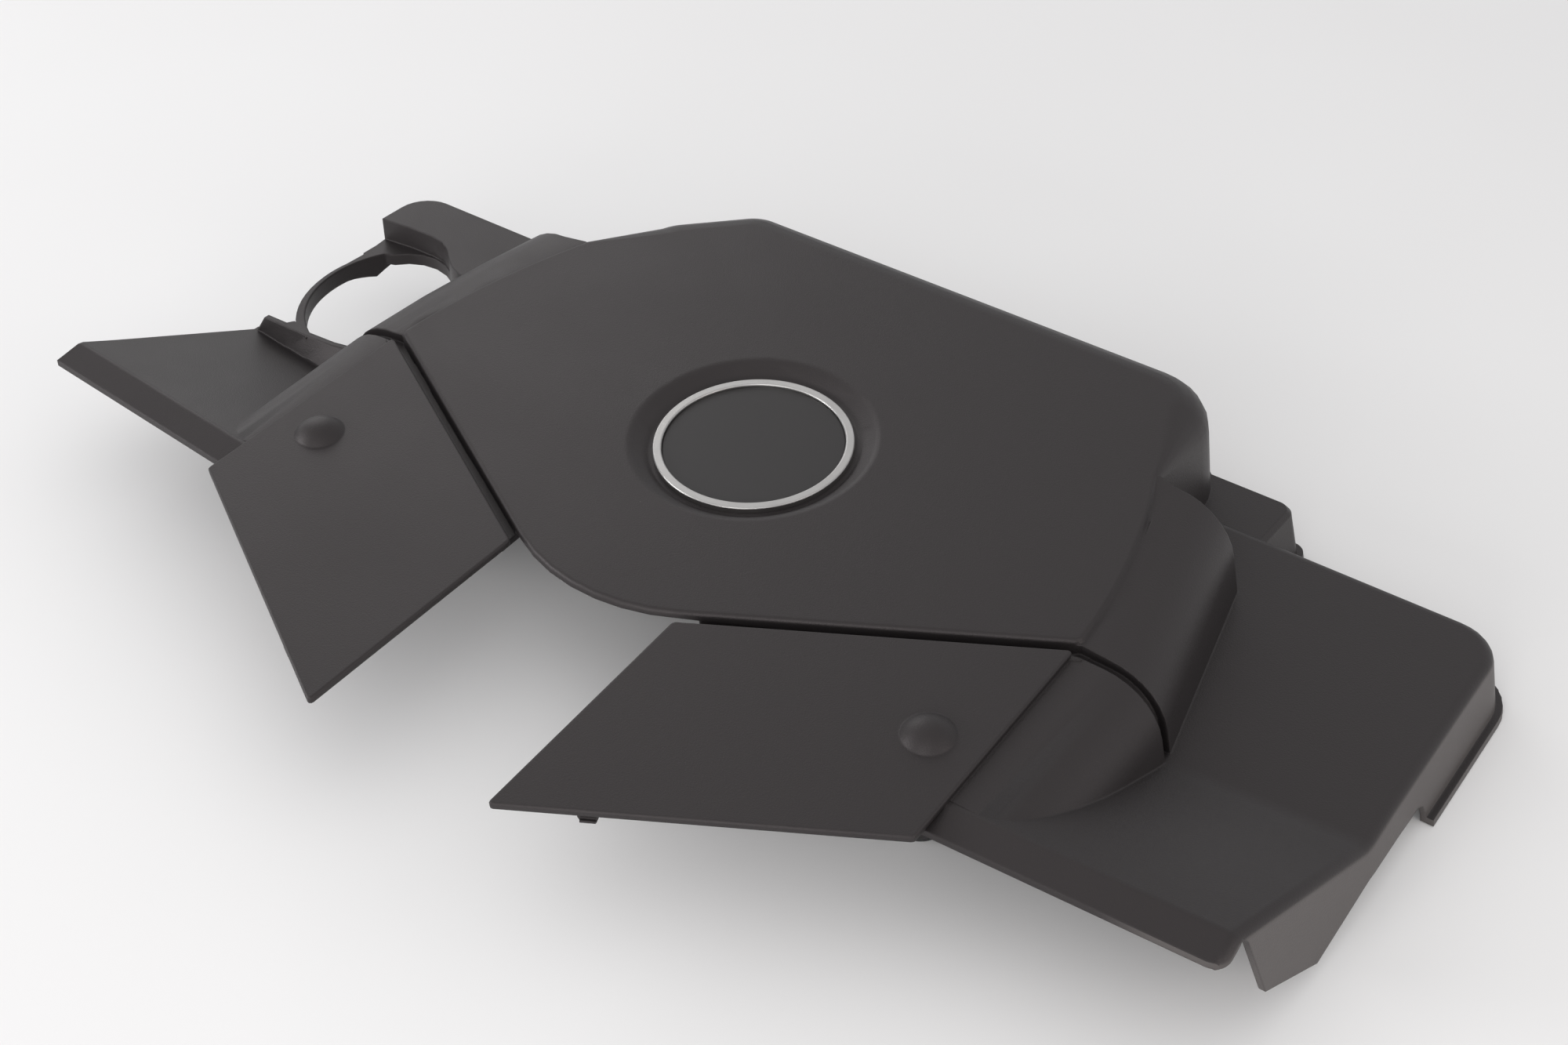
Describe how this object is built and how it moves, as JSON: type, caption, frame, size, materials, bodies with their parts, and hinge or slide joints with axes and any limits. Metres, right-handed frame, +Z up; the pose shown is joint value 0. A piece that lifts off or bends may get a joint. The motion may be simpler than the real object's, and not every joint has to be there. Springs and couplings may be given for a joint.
{
  "type": "engine cover",
  "caption": "Moulded plastic cover for a V engine: a flat dome with a round badge seat, wing panels with a V between them, a filler loop on one side and a box on the other.",
  "frame": {"origin": "middle of the bounding box on the ground the cover rests on", "axes": "+X to the cover's right seen from its front, +Y to its back, +Z up"},
  "size_m": [0.6242, 0.3795, 0.0792],
  "materials": {
    "shell_plastic": "fine-grained moulded texture, satin",
    "badge_black": "smooth, gloss",
    "badge_silver": "satin",
    "grommet_rubber": "matt"
  },
  "bodies": {
    "root": {"cover_shell": "shell_plastic", "badge_disc": "badge_black", "badge_ring": "badge_silver", "grommet_front_left": "grommet_rubber", "grommet_front_right": "grommet_rubber", "grommet_rear_left": "grommet_rubber", "grommet_rear_right": "grommet_rubber"}
  },
  "joints": []
}
